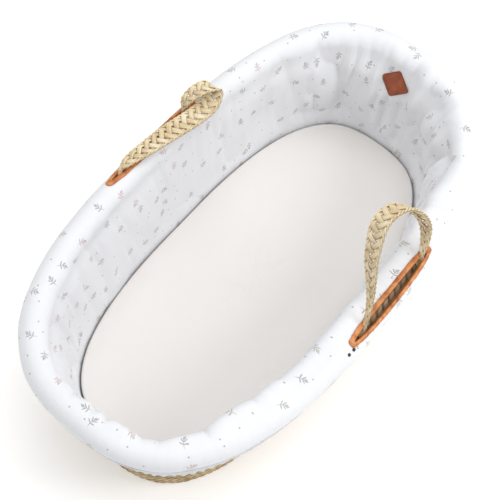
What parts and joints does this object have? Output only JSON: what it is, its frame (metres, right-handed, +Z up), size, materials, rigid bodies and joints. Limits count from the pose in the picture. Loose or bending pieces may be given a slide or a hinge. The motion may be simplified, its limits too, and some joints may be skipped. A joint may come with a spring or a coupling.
{
  "type": "moses basket",
  "caption": "Oval woven straw baby basket with a padded fabric liner over the rim, side carry handles through bound slots, and a fitted mattress.",
  "frame": {"origin": "middle of the woven base's underside, on the floor, under the middle of the outer size in X and Y", "axes": "+X along the basket towards the head end, where the leather label is; +Y across the basket, to the left of a baby lying on its back; +Z up"},
  "size_m": [0.8632, 0.4876, 0.3926],
  "materials": {
    "woven_straw": "matt, hand-woven maize straw",
    "rim_straw": "matt, twisted straw rope",
    "plaited_straw": "matt, flat straw plait",
    "raffia": "matt raffia twine",
    "padded_gauze": "matt, crinkled cotton gauze over wadding, small sprig print",
    "skirt_gauze": "matt, crinkled cotton gauze, small sprig print",
    "camel_leatherette": "smooth, satin",
    "tan_leather": "smooth vegetable-tanned leather, satin",
    "linen_thread": "matt thread",
    "black_press_stud": "glossy",
    "mattress_foam": "open-cell foam",
    "cotton_sheet": "matt woven cotton",
    "knitted_elastic": "matt knitted elastic"
  },
  "bodies": {
    "basket": {"basket_base": "woven_straw", "basket_wall": "woven_straw", "basket_rim": "rim_straw", "liner_floor": "padded_gauze", "liner_wall_head": "padded_gauze", "liner_wall_foot": "padded_gauze", "liner_wall_left": "padded_gauze", "liner_wall_right": "padded_gauze", "liner_roll_head": "padded_gauze", "liner_roll_foot": "padded_gauze", "liner_roll_left": "padded_gauze", "liner_roll_right": "padded_gauze", "liner_skirt": "skirt_gauze", "skirt_hem": "skirt_gauze", "left_slot_binding": "camel_leatherette", "right_slot_binding": "camel_leatherette", "left_root_head": "plaited_straw", "left_root_foot": "plaited_straw", "right_root_head": "plaited_straw", "right_root_foot": "plaited_straw", "left_lashing_head": "raffia", "left_lashing_foot": "raffia", "right_lashing_head": "raffia", "right_lashing_foot": "raffia", "leather_label": "tan_leather", "label_stitching": "linen_thread", "press_stud_lower": "black_press_stud", "press_stud_upper": "black_press_stud"},
    "left_handle": {"left_handle_strap": "plaited_straw"},
    "right_handle": {"right_handle_strap": "plaited_straw"},
    "mattress": {"mattress_core": "mattress_foam", "fitted_sheet": "cotton_sheet", "sheet_elastic": "knitted_elastic"}
  },
  "joints": [
    {"name": "left_handle_swing", "type": "hinge", "parent": "basket", "child": "left_handle", "pos_m": [0, 0.229, 0.273], "axis": [-1, 0, 0], "range_deg": [-6, 90]},
    {"name": "right_handle_swing", "type": "hinge", "parent": "basket", "child": "right_handle", "pos_m": [0.031, -0.223, 0.276], "axis": [1, 0, 0], "range_deg": [-50, 110]},
    {"name": "mattress_lift", "type": "slide", "parent": "basket", "child": "mattress", "axis": [0, 0, 1], "range_m": [0, 0.2]}
  ]
}
